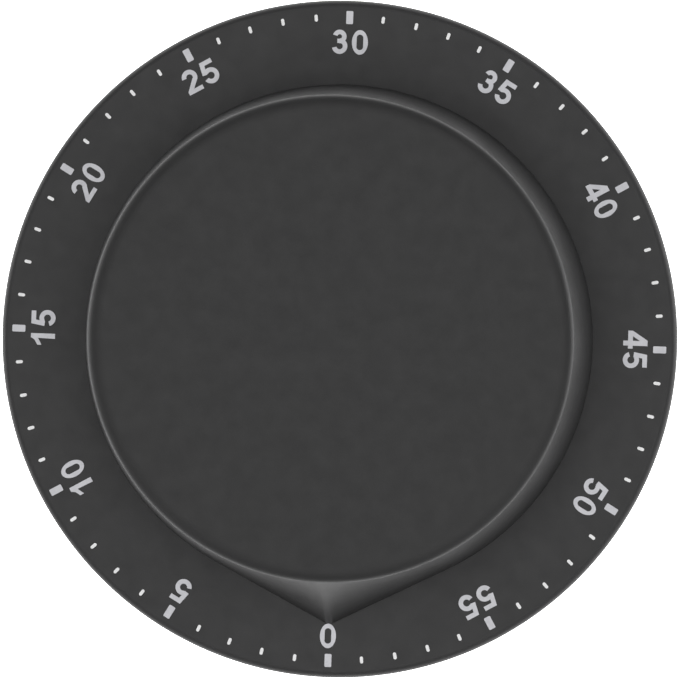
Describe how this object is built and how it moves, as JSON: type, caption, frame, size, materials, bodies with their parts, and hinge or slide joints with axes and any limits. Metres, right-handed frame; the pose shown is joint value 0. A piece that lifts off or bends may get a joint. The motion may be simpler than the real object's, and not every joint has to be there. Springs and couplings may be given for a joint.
{
  "type": "kitchen timer",
  "caption": "Round flat clockwork kitchen timer with a minute scale on a fixed ring and a large flat-topped turning knob with a pointer.",
  "frame": {"origin": "centre of the underside of the rubber feet, on the dial axis", "axes": "+Z out of the dial towards the user, -Y towards the zero mark, minutes increase clockwise seen from +Z"},
  "size_m": [0.085, 0.085, 0.0352],
  "materials": {
    "case": "matte",
    "knob_skin": "matte",
    "mark_ink": "matte",
    "numeral_ink": "matte",
    "foot_rubber": "matte",
    "magnet": "satin",
    "screw_steel": "satin",
    "plate_steel": "satin",
    "arbor_steel": "polished",
    "spring_steel": "polished",
    "wheel_brass": "satin",
    "gong_nickel": "polished"
  },
  "bodies": {
    "case": {"front_housing": "case", "base_housing": "case", "rubber_feet": "foot_rubber", "magnets": "magnet", "housing_screws": "screw_steel", "movement_screws": "screw_steel", "minute_marks": "mark_ink", "five_minute_marks": "numeral_ink", "scale_numerals": "numeral_ink", "back_plate": "plate_steel", "front_plate": "plate_steel", "plate_pillars": "arbor_steel", "pillar_nuts": "screw_steel", "mainspring": "spring_steel", "gong": "gong_nickel", "gong_screw": "screw_steel"},
    "dial": {"knob": "knob_skin", "knob_clip": "spring_steel", "main_arbor": "arbor_steel", "main_wheel": "wheel_brass", "clutch_washer": "spring_steel", "strike_cam": "plate_steel"},
    "second": {"second_arbor": "arbor_steel", "second_wheel": "wheel_brass"},
    "third": {"third_arbor": "arbor_steel", "third_wheel": "wheel_brass"},
    "escape": {"escape_arbor": "arbor_steel", "escape_wheel": "wheel_brass"},
    "pallet": {"pallet_arbor": "arbor_steel", "pallet_lever": "wheel_brass", "pallet_pins": "spring_steel"},
    "hammer": {"hammer_arbor": "arbor_steel", "hammer_lever": "plate_steel", "hammer_head": "wheel_brass", "hammer_spring": "spring_steel"}
  },
  "joints": [
    {"name": "knob_turn", "type": "hinge", "parent": "case", "child": "dial", "pos_m": [0, 0, 0.014], "axis": [0, 0, 1], "range_deg": [-354, 0]},
    {"name": "second_turn", "type": "hinge", "parent": "case", "child": "second", "pos_m": [-0.00547, 0.01504, 0.014], "axis": [0, 0, 1], "range_deg": [0, 3187]},
    {"name": "third_turn", "type": "hinge", "parent": "case", "child": "third", "pos_m": [0.00472, 0.0155, 0.014], "axis": [0, 0, 1], "range_deg": [-23896, 0]},
    {"name": "escape_turn", "type": "hinge", "parent": "case", "child": "escape", "pos_m": [0.01304, 0.00961, 0.014], "axis": [0, 0, 1], "range_deg": [0, 179213.5]},
    {"name": "pallet_rock", "type": "hinge", "parent": "case", "child": "pallet", "pos_m": [0.01792, 0.00459, 0.014], "axis": [0, 0, 1], "range_deg": [-8, 8]},
    {"name": "hammer_swing", "type": "hinge", "parent": "case", "child": "hammer", "pos_m": [-0.0181, -0.0181, 0.014], "axis": [0, 0, 1], "range_deg": [0, 7], "stiffness_Nm_per_rad": 0.002, "springref_deg": -2.86}
  ],
  "couplings": [
    {"joint": "second_turn", "follows": "knob_turn", "ratio": -9},
    {"joint": "third_turn", "follows": "knob_turn", "ratio": 67.5},
    {"joint": "escape_turn", "follows": "knob_turn", "ratio": -506.25}
  ]
}
